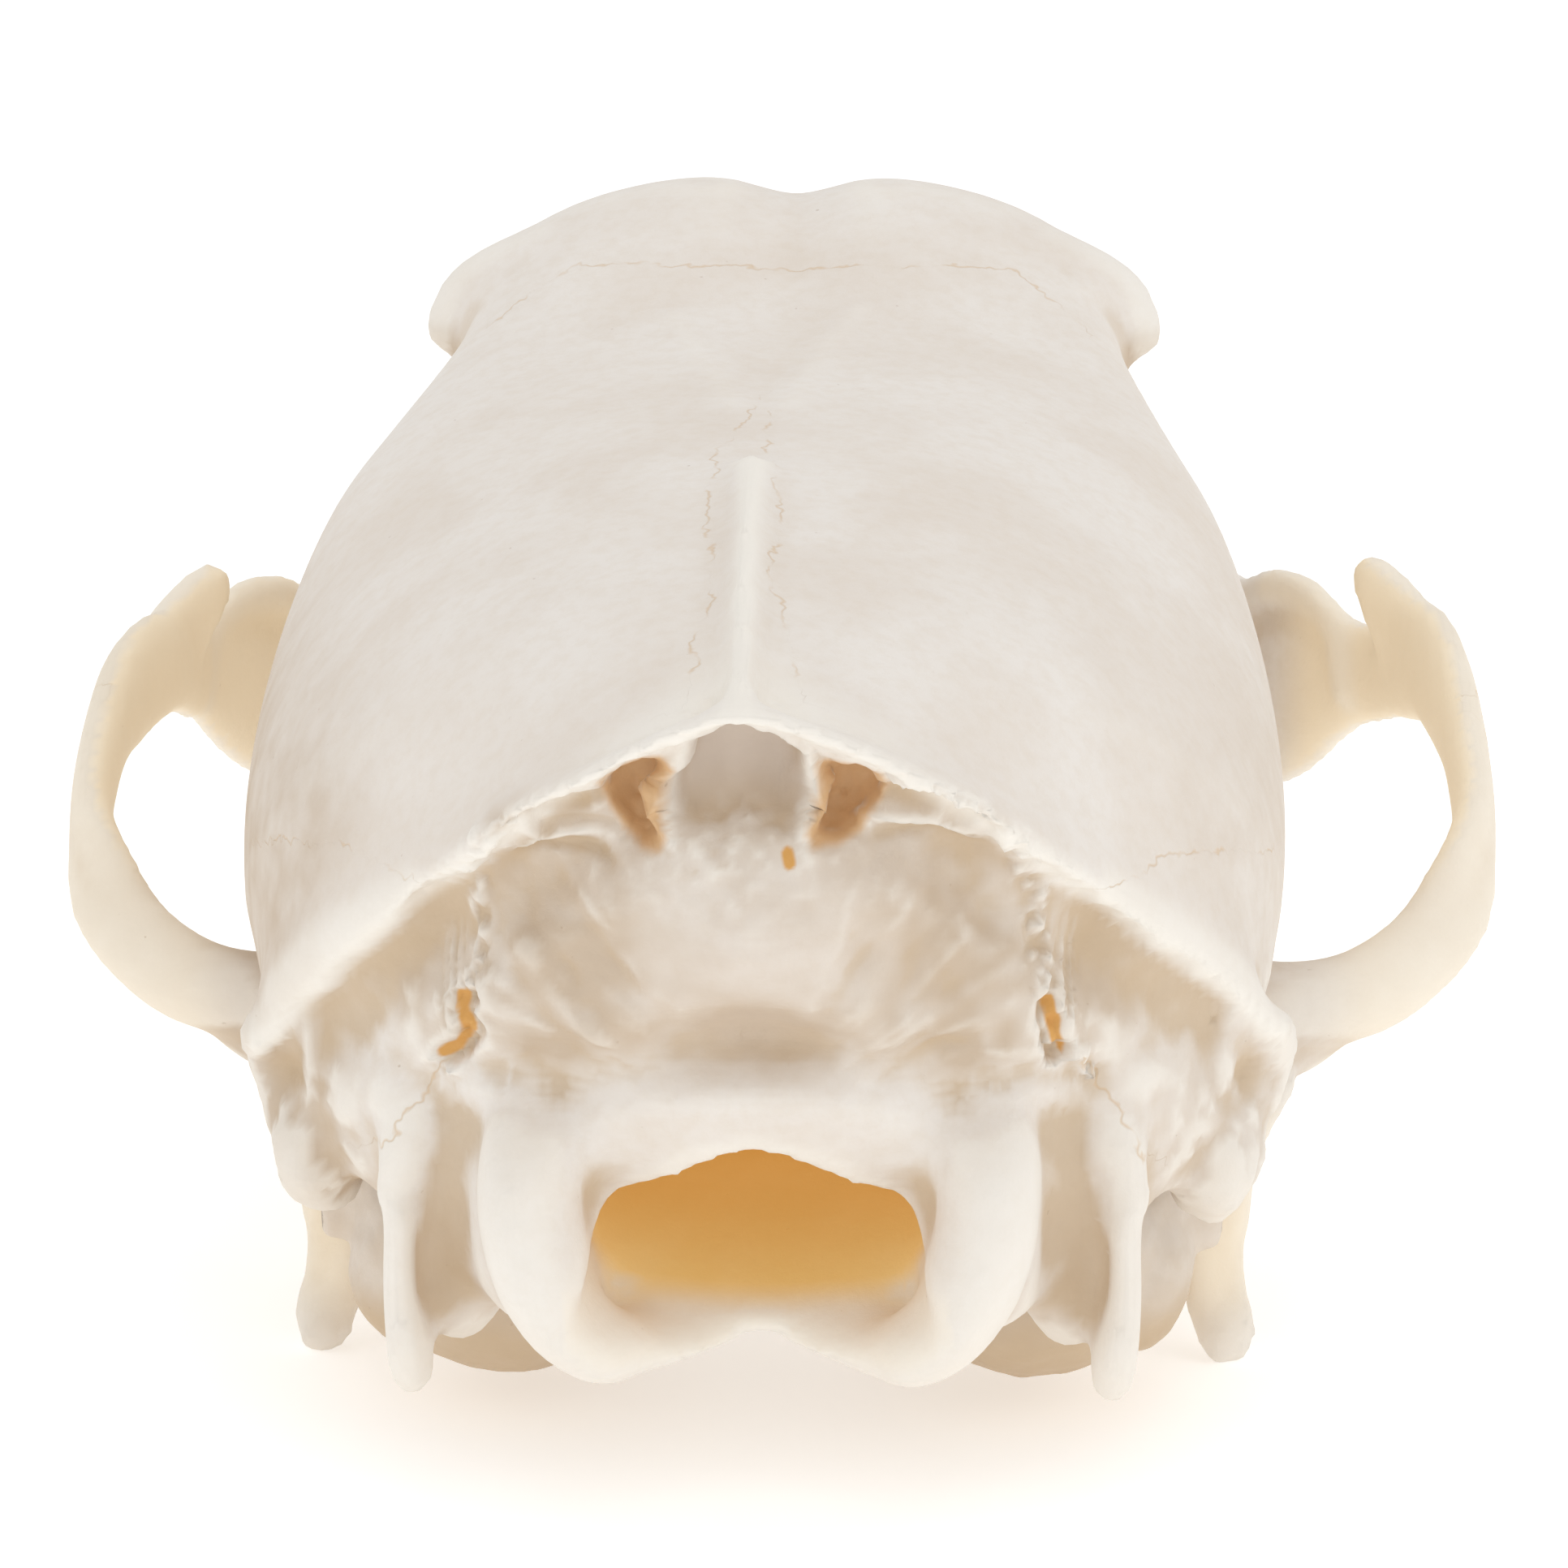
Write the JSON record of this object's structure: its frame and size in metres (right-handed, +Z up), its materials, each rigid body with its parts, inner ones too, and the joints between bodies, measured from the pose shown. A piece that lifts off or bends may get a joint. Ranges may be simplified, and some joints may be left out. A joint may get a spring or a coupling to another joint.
{
  "type": "jackal skull, cranium without lower jaw",
  "caption": "Life-size bleached jackal cranium resting on its canine tips and the processes behind its jaw joints.",
  "frame": {"origin": "centre of the skull's footprint on the surface it rests on", "axes": "+Y towards the snout, +X to the animal's right, +Z up"},
  "size_m": [0.0808, 0.1522, 0.0599],
  "materials": {
    "bone": "matte dry bone, with smoother teeth",
    "thin_bone": "matte thin bone, slightly translucent and yellower"
  },
  "bodies": {
    "root": {"braincase": "bone", "muzzle": "bone", "zygomatic_arch_left": "thin_bone", "zygomatic_arch_right": "thin_bone", "auditory_bulla_left": "bone", "auditory_bulla_right": "bone"}
  },
  "joints": []
}
